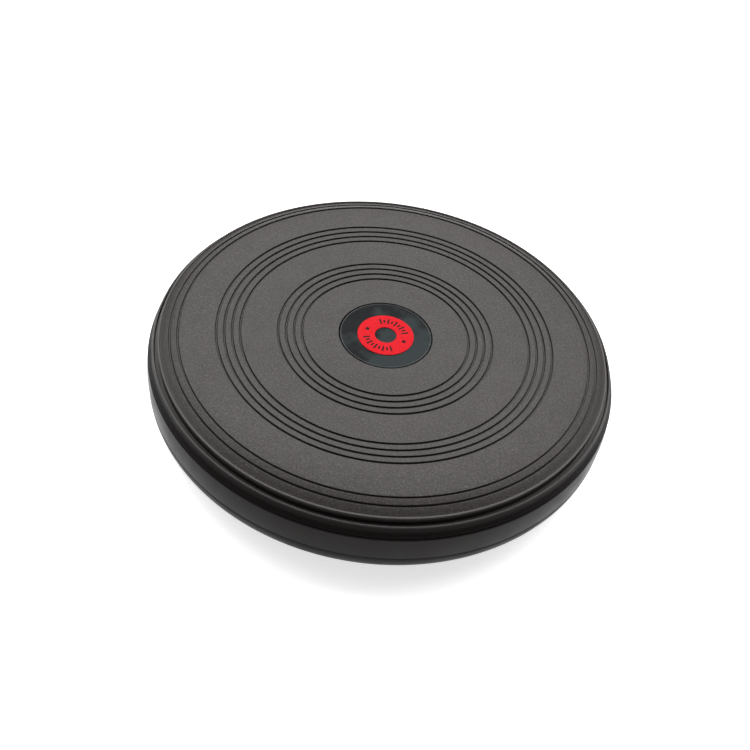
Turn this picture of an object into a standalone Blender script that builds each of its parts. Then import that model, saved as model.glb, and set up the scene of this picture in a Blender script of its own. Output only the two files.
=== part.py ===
"""Balance board: a grooved foam cushion on a stiff deck, over a side shell and a shallow rocker base.

The board stands level on the rubber pad in the middle of its base, and tilts by rolling on the base's
shallow dome. The origin is the middle of the floor contact, +Z is up, and all lengths are in metres.
"""

import math

import bmesh
import bpy
from mathutils import Matrix, Vector

# Overall size
OUTER_RADIUS = 0.200
TOTAL_HEIGHT = 0.082
CLEARANCE = 0.0003  # left between pieces that touch
MERGE = 0.00002
ROUND_STEPS = 40  # sides of every large turned piece
SMALL_STEPS = 12  # sides of screws, inserts and their holes
SMOOTH_ANGLE = math.radians(35)

# Levels, measured down from the standing surface
PARTING_DEPTH = 0.0228  # where the cushion meets the shell
SEAM_DEPTH = 0.0474  # where the shell meets the base
PARTING_Z = TOTAL_HEIGHT - PARTING_DEPTH
SEAM_Z = TOTAL_HEIGHT - SEAM_DEPTH

# Grooves in the standing surface
GROOVE_COUNT = 4
GROOVE_HALF_WIDTH = 0.0010
GROOVE_DEPTH = 0.0016
INNER_GROOVE_RADIUS = 0.0710
INNER_GROOVE_PITCH = 0.0067
OUTER_GROOVE_RADIUS = 0.1229
OUTER_GROOVE_PITCH = 0.0066

# Rounded edge of the cushion: it crowns down from the flat to the first edge groove
FLAT_RADIUS = 0.1445
CROWN_RADIUS = 0.1734
CROWN_DROP = 0.0025
CROWN_STEPS = 4
EDGE_GROOVES = ((0.1745, 0.0025, 0.0040), (0.1813, 0.0046, 0.0061))  # radius, rim depth, floor depth
SHOULDER = ((0.1858, 0.0066), (0.1888, 0.0083))  # radius and depth, down to the upper raised edge
UPPER_BEAD_RADIUS = 0.1910
UPPER_BEAD_DEPTH = 0.0073
UPPER_BEAD_WIDTH = 0.0018
LOWER_BEAD_RADIUS = 0.1956
LOWER_BEAD_DEPTH = 0.0126
LOWER_BEAD_WIDTH = 0.0016
BEAD_EDGE = 0.0005
HOLLOW_DEPTH = 0.0152
HOLLOW_RADIUS = 0.1904
HOLLOW_CORNER = 0.0004
COVE_RADIUS = 0.1964  # the band under the lower raised edge, at COVE_RISE above the parting line
COVE_RISE = 0.0050
CUSHION_FOOT_RADIUS = 0.1990
FOOT_EDGE = 0.0006

# Gel disc and its printed ring
GEL_RADIUS = 0.0398
GEL_THICKNESS = 0.0045
GEL_POCKET_DEPTH = 0.0055
GEL_EDGE = 0.0008
BADGE_INNER_RADIUS = 0.0090
BADGE_OUTER_RADIUS = 0.0240
BADGE_THICKNESS = 0.0004

# Deck plate, held in a pocket in the cushion's underside
DECK_RADIUS = 0.1840
DECK_THICKNESS = 0.0090
DECK_Z = PARTING_Z + CLEARANCE

# Side shell
SHELL_WALL = 0.0035
SHELL_FLANGE = 0.0035
SHELL_FLANGE_INNER_RADIUS = 0.1500
SHELL_BELLY_RADIUS = OUTER_RADIUS
SHELL_BELLY_DROPS = (0.0110, 0.0160)  # the widest band, measured down from the shell's top
SHELL_TOP_EDGE = 0.0010
SHELL_FOOT_RADIUS = 0.1990
SHELL_FOOT_EDGE = 0.0004

# Rocker base: a shallow dome with a rounded rim
BASE_WALL = 0.0050
DOME_LOW_Z = 0.0006  # under the middle of the bare dome; the rubber pad stands lower
DOME_EDGE_RADIUS = 0.1870
DOME_EDGE_Z = 0.0162
DOME_RISE = DOME_EDGE_Z - DOME_LOW_Z
DOME_SPHERE = (DOME_EDGE_RADIUS**2 + DOME_RISE**2) / (2 * DOME_RISE)
RIM_STEPS = 4
SPIGOT_RADIUS = SHELL_FOOT_RADIUS - SHELL_WALL - CLEARANCE
SPIGOT_THICKNESS = 0.0025
SPIGOT_HEIGHT = 0.0050
SPIGOT_ROOT = 0.0040  # how far below the seam the spigot's inner face meets the dome
DOME_POINT_RADII = (0.1000, 0.1800)  # extra points on the dome's outer and inner faces
RIB_TOP_Z = PARTING_Z - CLEARANCE
RING_RIB_RADII = (0.0300, 0.1400)
RING_RIB_THICKNESS = 0.0040
RIB_SHORTFALL = 0.0040  # the radial ribs end below the ring ribs
RADIAL_RIB_COUNT = 8
RADIAL_RIB_THICKNESS = 0.0035

# Rubber under the base
PAD_RADIUS = 0.0600
PAD_THICKNESS = 0.0030
PAD_LANDING_RADIUS = 0.0300
PAD_GROOVE_RADII = (0.0400, 0.0480)
PAD_GROOVE_DEPTH = 0.0010
PAD_EDGE = 0.0006
GRIP_RING_RADII = (0.1400, 0.1520)
GRIP_RING_THICKNESS = 0.0024
GRIP_RING_EDGE = 0.0012
RUBBER_PROUD = 0.0010  # how far the rubber stands out of its recess

# Fasteners
BASE_SCREW_COUNT = 6
BASE_SCREW_CIRCLE = 0.0950
BASE_SCREW_SEAT_Z = 0.0300
BASE_SCREW_RADIUS = 0.0025
BASE_SCREW_LENGTH = 0.0350
BASE_SCREW_HEAD_RADIUS = 0.0047
BASE_SCREW_HEAD_HEIGHT = 0.0034
BOSS_RADIUS = 0.0085
INSERT_RADIUS = 0.0040
INSERT_BORE_RADIUS = 0.0029
INSERT_FLANGE_RADIUS = 0.0055
INSERT_LENGTH = 0.0080
INSERT_FLANGE = 0.0012
SHELL_SCREW_COUNT = 8
SHELL_SCREW_CIRCLE = 0.1680
SHELL_SCREW_START = math.pi / SHELL_SCREW_COUNT
SHELL_SCREW_RADIUS = 0.0019
SHELL_SCREW_LENGTH = 0.0110
SHELL_SCREW_HEAD_RADIUS = 0.0040
SHELL_SCREW_HEAD_HEIGHT = 0.0026
HOLE_CLEARANCE = 0.0004
CUT_MARGIN = 0.0010  # how far a cutting tool reaches past the face it opens
BASE_SCREW_SIZES = (BASE_SCREW_RADIUS, BASE_SCREW_LENGTH, BASE_SCREW_HEAD_RADIUS, BASE_SCREW_HEAD_HEIGHT)
SHELL_SCREW_SIZES = (SHELL_SCREW_RADIUS, SHELL_SCREW_LENGTH, SHELL_SCREW_HEAD_RADIUS, SHELL_SCREW_HEAD_HEIGHT)
BLUNT_TIP = 0.7  # tip radius as a share of the shank: a machine screw
SHARP_TIP = 0.2  # and a wood screw
HEAD_EDGE_SHARE = 0.45
HEAD_FACE_SHARE = 0.72
SLOT_SIZE_SHARES = (1.05, 0.26, 0.55)  # of the head: length, width and depth

# Colour, roughness and metallic value of each material
MATERIALS = {
    "cushion_foam": ((0.115, 0.108, 0.104, 1.0), 0.62, 0.0),
    "gel": ((0.010, 0.020, 0.024, 1.0), 0.18, 0.0),
    "badge_print": ((0.72, 0.020, 0.035, 1.0), 0.40, 0.0),
    "deck_board": ((0.46, 0.30, 0.16, 1.0), 0.60, 0.0),
    "shell_plastic": ((0.045, 0.042, 0.041, 1.0), 0.38, 0.0),
    "base_plastic": ((0.040, 0.038, 0.037, 1.0), 0.42, 0.0),
    "floor_rubber": ((0.018, 0.018, 0.018, 1.0), 0.80, 0.0),
    "screw_steel": ((0.55, 0.55, 0.54, 1.0), 0.35, 1.0),
    "insert_brass": ((0.70, 0.52, 0.24, 1.0), 0.35, 1.0),
}


def clear_scene():
    for item in list(bpy.data.objects):
        bpy.data.objects.remove(item, do_unlink=True)


def new_collection(name):
    collection = bpy.data.collections.new(name)
    bpy.context.scene.collection.children.link(collection)
    return collection


def make_material(name):
    colour, roughness, metallic = MATERIALS[name]
    material = bpy.data.materials.new(name)
    material.use_nodes = True
    shader = material.node_tree.nodes["Principled BSDF"]
    shader.inputs["Base Color"].default_value = colour
    shader.inputs["Roughness"].default_value = roughness
    shader.inputs["Metallic"].default_value = metallic
    return material


def around(count, radius, start=0.0):
    """Points evenly spaced on a circle about the board's axis."""
    turns = [start + 2 * math.pi * i / count for i in range(count)]
    return [Vector((radius * math.cos(turn), radius * math.sin(turn), 0)) for turn in turns]


def profile_mesh(name, points, closed):
    """An outline in the XZ plane: radius along X, height along Z."""
    mesh = bpy.data.meshes.new(name)
    edges = [(i, i + 1) for i in range(len(points) - 1)]
    if closed:
        edges.append((len(points) - 1, 0))
    mesh.from_pydata([(radius, 0.0, height) for radius, height in points], edges, [])
    return mesh


def turned(name, points, collection, material=None, steps=ROUND_STEPS):
    """A piece turned about the Z axis, from an outline that runs down its outer side."""
    on_axis = points[0][0] == 0 and points[-1][0] == 0
    piece = bpy.data.objects.new(name, profile_mesh(name, points, not on_axis))
    collection.objects.link(piece)
    screw = piece.modifiers.new("Turn", "SCREW")
    screw.axis = "Z"
    screw.steps = steps
    screw.render_steps = steps
    screw.use_merge_vertices = True
    screw.merge_threshold = MERGE
    screw.use_smooth_shade = True
    if material:
        piece.data.materials.append(material)
    return piece


def boolean(piece, tool, operation):
    cut = piece.modifiers.new(f"{operation.title()} {tool.name}", "BOOLEAN")
    cut.operation = operation
    cut.solver = "EXACT"
    cut.object = tool


def hide_tool(tool):
    tool.hide_render = True
    tool.display_type = "WIRE"
    return tool


def applied(piece):
    """Replaces a piece's modifiers with the mesh that they make."""
    graph = bpy.context.evaluated_depsgraph_get()
    mesh = bpy.data.meshes.new_from_object(piece.evaluated_get(graph))
    piece.modifiers.clear()
    piece.data = mesh
    return piece


def shade(piece):
    piece.data.shade_smooth()
    piece.data.set_sharp_from_angle(angle=SMOOTH_ANGLE)


def cylinder(name, radius, low, high, steps, collection):
    """An upright cylinder between two heights."""
    mesh = bpy.data.meshes.new(name)
    shape = bmesh.new()
    bmesh.ops.create_cone(
        shape, cap_ends=True, segments=steps, radius1=radius, radius2=radius, depth=high - low
    )
    bmesh.ops.translate(shape, verts=shape.verts, vec=(0, 0, (low + high) / 2))
    shape.to_mesh(mesh)
    shape.free()
    piece = bpy.data.objects.new(name, mesh)
    collection.objects.link(piece)
    return piece


def rod_tool(name, radius, low, high, place, collection):
    """An upright cylinder used to cut a hole or to add a boss."""
    tool = cylinder(name, radius, low, high, SMALL_STEPS, collection)
    tool.location = place
    return hide_tool(tool)


def groove(radius, rim_z, floor_z):
    """A V-shaped groove, from its inner rim to its outer rim."""
    return [(radius - GROOVE_HALF_WIDTH, rim_z), (radius, floor_z), (radius + GROOVE_HALF_WIDTH, rim_z)]


def below(depth):
    return TOTAL_HEIGHT - depth


def standing_surface():
    """The gel pocket and the two groups of grooves, from the axis outwards."""
    pocket_radius = GEL_RADIUS + CLEARANCE
    pocket_z = below(GEL_POCKET_DEPTH)
    points = [(0.0, pocket_z), (pocket_radius, pocket_z), (pocket_radius, TOTAL_HEIGHT)]
    groups = ((INNER_GROOVE_RADIUS, INNER_GROOVE_PITCH), (OUTER_GROOVE_RADIUS, OUTER_GROOVE_PITCH))
    for first, pitch in groups:
        for i in range(GROOVE_COUNT):
            points += groove(first + i * pitch, TOTAL_HEIGHT, below(GROOVE_DEPTH))
    for i in range(CROWN_STEPS):
        share = i / CROWN_STEPS
        radius = FLAT_RADIUS + (CROWN_RADIUS - FLAT_RADIUS) * share
        points.append((radius, below(CROWN_DROP * share**2)))
    return points


def cushion_side():
    """The rolled edge with its grooves and raised edges, down to the parting line."""
    points = []
    for radius, rim_depth, floor_depth in EDGE_GROOVES:
        points += groove(radius, below(rim_depth), below(floor_depth))
    points += [(radius, below(depth)) for radius, depth in SHOULDER]
    bead_z = below(UPPER_BEAD_DEPTH)
    low_bead_z = below(LOWER_BEAD_DEPTH)
    points += [
        (UPPER_BEAD_RADIUS - UPPER_BEAD_WIDTH, bead_z),
        (UPPER_BEAD_RADIUS - BEAD_EDGE, bead_z),
        (UPPER_BEAD_RADIUS, bead_z - BEAD_EDGE),
        (HOLLOW_RADIUS, below(HOLLOW_DEPTH) + HOLLOW_CORNER),
        (HOLLOW_RADIUS + HOLLOW_CORNER, below(HOLLOW_DEPTH)),
        (LOWER_BEAD_RADIUS - LOWER_BEAD_WIDTH - BEAD_EDGE, below(HOLLOW_DEPTH)),
        (LOWER_BEAD_RADIUS - LOWER_BEAD_WIDTH, low_bead_z),
        (LOWER_BEAD_RADIUS - BEAD_EDGE, low_bead_z - BEAD_EDGE / 2),
        (LOWER_BEAD_RADIUS, low_bead_z - 2 * BEAD_EDGE),
        (COVE_RADIUS, PARTING_Z + COVE_RISE),
        (CUSHION_FOOT_RADIUS, PARTING_Z + CLEARANCE + FOOT_EDGE),
        (CUSHION_FOOT_RADIUS - FOOT_EDGE, PARTING_Z + CLEARANCE),
    ]
    return points


def deck_pocket():
    """The pocket in the cushion's underside, from its mouth to the axis."""
    pocket_radius = DECK_RADIUS + CLEARANCE
    ceiling_z = DECK_Z + DECK_THICKNESS + CLEARANCE
    return [(pocket_radius, PARTING_Z + CLEARANCE), (pocket_radius, ceiling_z), (0.0, ceiling_z)]


def make_cushion(parts):
    points = standing_surface() + cushion_side() + deck_pocket()
    return turned("cushion", points, parts, make_material("cushion_foam"))


def make_gel(parts):
    floor_z = below(GEL_POCKET_DEPTH) + CLEARANCE
    top_z = floor_z + GEL_THICKNESS
    points = [
        (0.0, top_z),
        (GEL_RADIUS - GEL_EDGE, top_z),
        (GEL_RADIUS, top_z - GEL_EDGE),
        (GEL_RADIUS, floor_z),
        (0.0, floor_z),
    ]
    turned("gel_pad", points, parts, make_material("gel"))
    return top_z


def make_badge(parts, gel_top):
    low = gel_top + CLEARANCE / 3
    high = low + BADGE_THICKNESS
    points = [
        (BADGE_INNER_RADIUS, high),
        (BADGE_OUTER_RADIUS, high),
        (BADGE_OUTER_RADIUS, low),
        (BADGE_INNER_RADIUS, low),
    ]
    turned("badge_ring", points, parts, make_material("badge_print"))


def make_deck(parts, cutters):
    deck = cylinder("deck_plate", DECK_RADIUS, DECK_Z, DECK_Z + DECK_THICKNESS, ROUND_STEPS, parts)
    deck.data.materials.append(make_material("deck_board"))
    shade(deck)
    low = DECK_Z - CUT_MARGIN
    body_top = DECK_Z + INSERT_LENGTH + CLEARANCE
    flange_top = DECK_Z + INSERT_FLANGE + CLEARANCE
    for i, place in enumerate(around(BASE_SCREW_COUNT, BASE_SCREW_CIRCLE), 1):
        radius = INSERT_RADIUS + CLEARANCE
        boolean(deck, rod_tool(f"insert_hole_{i}", radius, low, body_top, place, cutters), "DIFFERENCE")
        radius = INSERT_FLANGE_RADIUS + CLEARANCE
        boolean(deck, rod_tool(f"insert_seat_{i}", radius, low, flange_top, place, cutters), "DIFFERENCE")
    pilot_top = RIB_TOP_Z - SHELL_FLANGE + SHELL_SCREW_LENGTH + CLEARANCE
    for i, place in enumerate(around(SHELL_SCREW_COUNT, SHELL_SCREW_CIRCLE, SHELL_SCREW_START), 1):
        radius = SHELL_SCREW_RADIUS + HOLE_CLEARANCE
        boolean(deck, rod_tool(f"pilot_hole_{i}", radius, low, pilot_top, place, cutters), "DIFFERENCE")


def make_shell(parts, cutters):
    """The side wall, with an inner flange at its top that carries the deck's edge."""
    top = RIB_TOP_Z
    foot = SEAM_Z + CLEARANCE
    inner = SHELL_FOOT_RADIUS - SHELL_WALL
    points = [
        (SHELL_FLANGE_INNER_RADIUS, top),
        (CUSHION_FOOT_RADIUS - SHELL_TOP_EDGE, top),
        (CUSHION_FOOT_RADIUS + SHELL_FOOT_EDGE, top - SHELL_TOP_EDGE),
        *[(SHELL_BELLY_RADIUS, top - drop) for drop in SHELL_BELLY_DROPS],
        (SHELL_FOOT_RADIUS, foot + SHELL_FOOT_EDGE),
        (SHELL_FOOT_RADIUS - SHELL_FOOT_EDGE, foot),
        (inner, foot),
        (inner, top - SHELL_FLANGE),
        (SHELL_FLANGE_INNER_RADIUS, top - SHELL_FLANGE),
    ]
    shell = turned("lower_shell", points, parts, make_material("shell_plastic"))
    for i, place in enumerate(around(SHELL_SCREW_COUNT, SHELL_SCREW_CIRCLE, SHELL_SCREW_START), 1):
        radius = SHELL_SCREW_RADIUS + HOLE_CLEARANCE
        low = top - SHELL_FLANGE - CUT_MARGIN
        hole = rod_tool(f"shell_hole_{i}", radius, low, top + CUT_MARGIN, place, cutters)
        boolean(shell, hole, "DIFFERENCE")


def dome_z(radius, offset=0.0):
    """Height of the dome's outer face, or of a face parallel to it, at a distance from the axis."""
    sphere = DOME_SPHERE - offset
    return DOME_LOW_Z + DOME_SPHERE - math.sqrt(sphere**2 - radius**2)


def rim_arc():
    """The rounded rim, from the seam down to the edge of the dome, as an elliptic quarter."""
    start = SEAM_Z - CLEARANCE
    slope = DOME_EDGE_RADIUS / math.sqrt(DOME_SPHERE**2 - DOME_EDGE_RADIUS**2)
    reach = SHELL_FOOT_RADIUS - DOME_EDGE_RADIUS
    points = []
    for i in range(RIM_STEPS + 1):
        turn = math.pi / 2 * i / RIM_STEPS
        radius = DOME_EDGE_RADIUS + reach * math.cos(turn)
        lift = slope * (radius - DOME_EDGE_RADIUS)
        drop = (start - DOME_EDGE_Z - slope * reach) * (1 - math.sin(turn))
        points.append((radius, DOME_EDGE_Z + lift + drop))
    return points


def rubber_recess(inner, outer, depth):
    """A recess in the dome's outer face, from its outer wall to its inner wall."""
    points = [(outer, dome_z(outer)), (outer, dome_z(outer, depth))]
    if inner > 0:
        points += [(inner, dome_z(inner, depth)), (inner, dome_z(inner))]
    return points


def base_outside():
    """The outer face of the base, from the tip of its spigot down to the axis."""
    seam = SEAM_Z - CLEARANCE
    tip = seam + SPIGOT_HEIGHT
    outer_face = [(SPIGOT_RADIUS - SPIGOT_THICKNESS, tip), (SPIGOT_RADIUS, tip), (SPIGOT_RADIUS, seam)]
    outer_face += rim_arc()
    low, high = GRIP_RING_RADII
    recess = GRIP_RING_THICKNESS - RUBBER_PROUD
    outer_face += rubber_recess(low - CLEARANCE, high + CLEARANCE, recess)
    outer_face.append((DOME_POINT_RADII[0], dome_z(DOME_POINT_RADII[0])))
    recess = PAD_THICKNESS - RUBBER_PROUD
    outer_face += rubber_recess(0.0, PAD_RADIUS + CLEARANCE, recess)
    outer_face.append((0.0, dome_z(0.0, recess)))
    return outer_face


def base_inside():
    """The ribbed inner face of the base, from the axis outwards."""
    wall = BASE_WALL
    points = [(0.0, dome_z(0.0, wall))]
    for radius in RING_RIB_RADII:
        near = radius - RING_RIB_THICKNESS / 2
        far = radius + RING_RIB_THICKNESS / 2
        points += [(near, dome_z(near, wall)), (near, RIB_TOP_Z)]
        points += [(far, RIB_TOP_Z), (far, dome_z(far, wall))]
    points.append((DOME_POINT_RADII[1], dome_z(DOME_POINT_RADII[1], wall)))
    points.append((SPIGOT_RADIUS - SPIGOT_THICKNESS, SEAM_Z - SPIGOT_ROOT))
    return points


def rib_tool(name, turn, collection):
    """A radial plate between the two ring ribs, its foot sunk into the dome's wall at both ends."""
    near, far = RING_RIB_RADII
    top = RIB_TOP_Z - RIB_SHORTFALL
    mesh = bpy.data.meshes.new(name)
    shape = bmesh.new()
    bmesh.ops.create_cube(shape, size=1)
    for corner in shape.verts:
        radius = near if corner.co.x < 0 else far
        height = top if corner.co.z > 0 else dome_z(radius, BASE_WALL / 2)
        corner.co = Vector((radius, corner.co.y * RADIAL_RIB_THICKNESS, height))
    shape.to_mesh(mesh)
    shape.free()
    rib = bpy.data.objects.new(name, mesh)
    rib.rotation_euler.z = turn
    collection.objects.link(rib)
    return hide_tool(rib)


def make_base(parts, cutters):
    outline = base_inside() + base_outside()
    base = turned("rocker_base", outline, parts, make_material("base_plastic"))
    for i in range(RADIAL_RIB_COUNT):
        turn = 2 * math.pi * i / RADIAL_RIB_COUNT
        boolean(base, rib_tool(f"rib_{i + 1}", turn, cutters), "UNION")
    places = around(BASE_SCREW_COUNT, BASE_SCREW_CIRCLE)
    boss_low = dome_z(BASE_SCREW_CIRCLE) + BASE_WALL / 2
    for i, place in enumerate(places, 1):
        boolean(base, rod_tool(f"boss_{i}", BOSS_RADIUS, boss_low, RIB_TOP_Z, place, cutters), "UNION")
    for i, place in enumerate(places, 1):
        bore = BASE_SCREW_RADIUS + HOLE_CLEARANCE
        seat = BASE_SCREW_HEAD_RADIUS + HOLE_CLEARANCE
        boolean(base, rod_tool(f"bore_{i}", bore, 0.0, RIB_TOP_Z + CUT_MARGIN, place, cutters), "DIFFERENCE")
        boolean(base, rod_tool(f"seat_{i}", seat, 0.0, BASE_SCREW_SEAT_Z, place, cutters), "DIFFERENCE")


def make_pad(parts):
    """The floor pad: it follows the dome, with grip grooves and a flat landing in the middle."""
    top = PAD_THICKNESS - RUBBER_PROUD - CLEARANCE
    proud = -RUBBER_PROUD
    foot_z = dome_z(PAD_RADIUS, proud)
    points = [(radius, dome_z(radius, top)) for radius in (0.0, PAD_RADIUS / 2, PAD_RADIUS)]
    points += [(PAD_RADIUS, foot_z + PAD_EDGE), (PAD_RADIUS - PAD_EDGE, foot_z)]
    for radius in PAD_GROOVE_RADII[::-1]:
        rim = dome_z(radius, proud)
        half = GROOVE_HALF_WIDTH
        points += [(radius + half, rim), (radius, rim + PAD_GROOVE_DEPTH), (radius - half, rim)]
    points += [(PAD_LANDING_RADIUS, 0.0), (0.0, 0.0)]
    turned("floor_pad", points, parts, make_material("floor_rubber"))


def make_grip_ring(parts):
    inner, outer = GRIP_RING_RADII
    top = GRIP_RING_THICKNESS - RUBBER_PROUD - CLEARANCE
    proud = -RUBBER_PROUD
    middle = (inner + outer) / 2
    points = [
        (inner, dome_z(inner, top)),
        (outer, dome_z(outer, top)),
        (outer, dome_z(outer)),
        (outer - GRIP_RING_EDGE, dome_z(outer - GRIP_RING_EDGE, proud)),
        (middle, dome_z(middle, proud)),
        (inner + GRIP_RING_EDGE, dome_z(inner + GRIP_RING_EDGE, proud)),
        (inner, dome_z(inner)),
    ]
    turned("grip_ring", points, parts, make_material("floor_rubber"))


def screw_outline(sizes, tip):
    """A pan-head screw with its tip up and the underside of its head at height zero."""
    shank, length, head, height = sizes
    return [
        (0.0, length),
        (shank * tip, length),
        (shank, length - shank),
        (shank, 0.0),
        (head, 0.0),
        (head, -height * HEAD_EDGE_SHARE),
        (head * HEAD_FACE_SHARE, -height),
        (0.0, -height),
    ]


def drive_slot(name, length, width, depth, collection):
    """One arm of the cross recess in a screw head."""
    mesh = bpy.data.meshes.new(name)
    shape = bmesh.new()
    bmesh.ops.create_cube(shape, size=1, matrix=Matrix.Diagonal((length, width, depth * 2, 1)))
    shape.to_mesh(mesh)
    shape.free()
    tool = bpy.data.objects.new(name, mesh)
    collection.objects.link(tool)
    return hide_tool(tool)


def make_screws(prefix, places, sizes, tip, parts, cutters, material):
    """One screw at each place; the first is modelled and the others share its mesh."""
    first = turned(f"{prefix}_1", screw_outline(sizes, tip), parts, material, SMALL_STEPS)
    head, height = sizes[2:]
    slot_sizes = [share * size for share, size in zip(SLOT_SIZE_SHARES, (head, head, height))]
    for i, turn in enumerate((0.0, math.pi / 2), 1):
        slot = drive_slot(f"{prefix}_slot_{i}", *slot_sizes, cutters)
        slot.location.z = -height
        slot.rotation_euler.z = turn
        boolean(first, slot, "DIFFERENCE")
    applied(first)
    shade(first)
    for i, place in enumerate(places, 1):
        piece = first
        if i > 1:
            piece = bpy.data.objects.new(f"{prefix}_{i}", first.data)
            parts.objects.link(piece)
        piece.location = place


def make_inserts(places, parts):
    material = make_material("insert_brass")
    points = [
        (INSERT_BORE_RADIUS, INSERT_LENGTH),
        (INSERT_RADIUS, INSERT_LENGTH),
        (INSERT_RADIUS, INSERT_FLANGE),
        (INSERT_FLANGE_RADIUS, INSERT_FLANGE),
        (INSERT_FLANGE_RADIUS, 0.0),
        (INSERT_BORE_RADIUS, 0.0),
    ]
    for i, place in enumerate(places, 1):
        piece = turned(f"insert_{i}", points, parts, material, SMALL_STEPS)
        piece.location = place + Vector((0, 0, DECK_Z))


def main():
    clear_scene()
    parts = new_collection("balance_board")
    cutters = new_collection("cutters")
    cutters.hide_render = True
    make_cushion(parts)
    make_badge(parts, make_gel(parts))
    make_deck(parts, cutters)
    make_shell(parts, cutters)
    make_base(parts, cutters)
    make_pad(parts)
    make_grip_ring(parts)
    make_inserts(around(BASE_SCREW_COUNT, BASE_SCREW_CIRCLE), parts)
    steel = make_material("screw_steel")
    seat = Vector((0, 0, BASE_SCREW_SEAT_Z - CLEARANCE))
    places = [place + seat for place in around(BASE_SCREW_COUNT, BASE_SCREW_CIRCLE)]
    make_screws("base_screw", places, BASE_SCREW_SIZES, BLUNT_TIP, parts, cutters, steel)
    seat = Vector((0, 0, RIB_TOP_Z - SHELL_FLANGE - CLEARANCE))
    places = [place + seat for place in around(SHELL_SCREW_COUNT, SHELL_SCREW_CIRCLE, SHELL_SCREW_START)]
    make_screws("shell_screw", places, SHELL_SCREW_SIZES, SHARP_TIP, parts, cutters, steel)


main()
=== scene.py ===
import math

import bmesh
import bpy
from mathutils import Matrix, Vector


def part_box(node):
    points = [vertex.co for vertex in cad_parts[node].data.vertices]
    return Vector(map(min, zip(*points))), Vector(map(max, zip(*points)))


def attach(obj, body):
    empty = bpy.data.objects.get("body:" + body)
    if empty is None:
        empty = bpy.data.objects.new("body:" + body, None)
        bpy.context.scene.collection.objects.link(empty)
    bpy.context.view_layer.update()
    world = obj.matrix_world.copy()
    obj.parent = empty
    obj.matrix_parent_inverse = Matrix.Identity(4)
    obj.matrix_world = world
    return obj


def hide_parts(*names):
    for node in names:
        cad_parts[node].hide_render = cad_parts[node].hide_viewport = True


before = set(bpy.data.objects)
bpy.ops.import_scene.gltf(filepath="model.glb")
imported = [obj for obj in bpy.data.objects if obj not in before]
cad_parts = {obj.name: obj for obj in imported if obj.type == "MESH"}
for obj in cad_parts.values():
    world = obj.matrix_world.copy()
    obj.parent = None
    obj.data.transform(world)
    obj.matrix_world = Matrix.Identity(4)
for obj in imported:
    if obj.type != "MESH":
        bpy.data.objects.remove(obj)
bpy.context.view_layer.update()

MM = 0.001
GAP = 0.3 * MM  # left between pieces that fit into each other
FINE_STEPS = 384  # sides of the large turned pieces
BASE_STEPS = 320
SMALL_STEPS = 256  # sides of the gel disc, the badge and the floor pad
CYLINDER_STEPS = 48
ARC_TURN = math.radians(18)  # a rounded corner has a step for each of these
ARC_STEP_LIMITS = (2, 8)
SMOOTH_ANGLE = math.radians(40)

# Levels and radii taken from the frame
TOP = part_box("cushion")[1].z
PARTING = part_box("cushion")[0].z
CUSHION_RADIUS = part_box("cushion")[1].x
SHELL_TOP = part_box("lower_shell")[1].z
SHELL_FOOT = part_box("lower_shell")[0].z
SHELL_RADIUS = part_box("lower_shell")[1].x
GEL_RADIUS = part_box("gel_pad")[1].x
GEL_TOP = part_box("gel_pad")[1].z
GEL_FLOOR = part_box("gel_pad")[0].z
BADGE_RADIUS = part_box("badge_ring")[1].x
BADGE_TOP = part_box("badge_ring")[1].z
DECK_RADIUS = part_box("deck_plate")[1].x
DECK_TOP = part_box("deck_plate")[1].z
PAD_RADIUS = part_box("floor_pad")[1].x
BASE_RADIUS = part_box("rocker_base")[1].x
BASE_INSIDE_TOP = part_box("rocker_base")[1].z

# Cushion details: radius and depth below the standing surface
GROOVE_GROUPS = ((71.0 * MM, 6.7 * MM), (122.9 * MM, 6.6 * MM))  # first radius and pitch
GROOVES_IN_GROUP = 4
GROOVE_HALF_WIDTH = 1.0 * MM
GROOVE_DEPTH = 1.6 * MM
GROOVE_LIP_ROUND = 0.35 * MM
GROOVE_FLOOR_ROUND = 0.5 * MM
GROOVE_FLOOR_SHARE = 0.6  # the flat floor's width as a share of the groove's
FLAT_RADIUS = 144.5 * MM
CROWN = (173.4 * MM, 2.5 * MM, 12)  # outer radius, drop and steps
EDGE_GROOVES = (  # radius, and the depths of the inner lip, the outer lip and the floor
    (174.5 * MM, 2.5 * MM, 2.5 * MM, 4.0 * MM),
    (181.3 * MM, 4.35 * MM, 4.75 * MM, 6.1 * MM),
)
SHOULDER = ((185.8 * MM, 6.6 * MM), (188.8 * MM, 8.3 * MM))
UPPER_BEAD = (191.0 * MM, 7.3 * MM)
LOWER_BEAD = (195.6 * MM, 12.6 * MM)
HOLLOW = (190.4 * MM, 15.2 * MM)
HIGHLIGHT_FROM = 188.9 * MM  # from this radius out, up-facing faces of the raised edges are paler: a painted highlight
SIDE_DROP = 1.2 * MM  # how far below the lower raised edge the side starts, with less sheen and painted shade in its colour

# Printed ring details
BADGE_HOLE = 9.3 * MM
BADGE_ROUND = 0.12 * MM
INK_PROUD = 0.05 * MM
INK_SINK = 0.1 * MM
TICK_ARCS = (65, 245)  # middles of the two arcs of ticks, in degrees
TICK_SPACING = 11.5  # degrees
TICKS_EACH_SIDE = 4
TICK_HALF_WIDTH = 0.75 * MM
TICK_REACHES = (3.0 * MM, 1.8 * MM)  # half the length of a long tick and of a short one
TICK_STEPS = 3
DOT_TURNS = (164, 343)  # degrees
DOT_RADII = (1.75 * MM, 1.7 * MM)  # at its foot and at its top
DOT_THICKNESS = 0.15 * MM
DOT_STEPS = 32

# Gel disc details
GEL_CURVE_STEPS = 12
GEL_SIDE_ROUND = 0.3 * MM
GEL_BEAD_HALF_WIDTH = 0.40 * MM

# Shell details
SHELL_WALL = 3.5 * MM
FLANGE_INNER_RADIUS = 150.0 * MM

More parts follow.
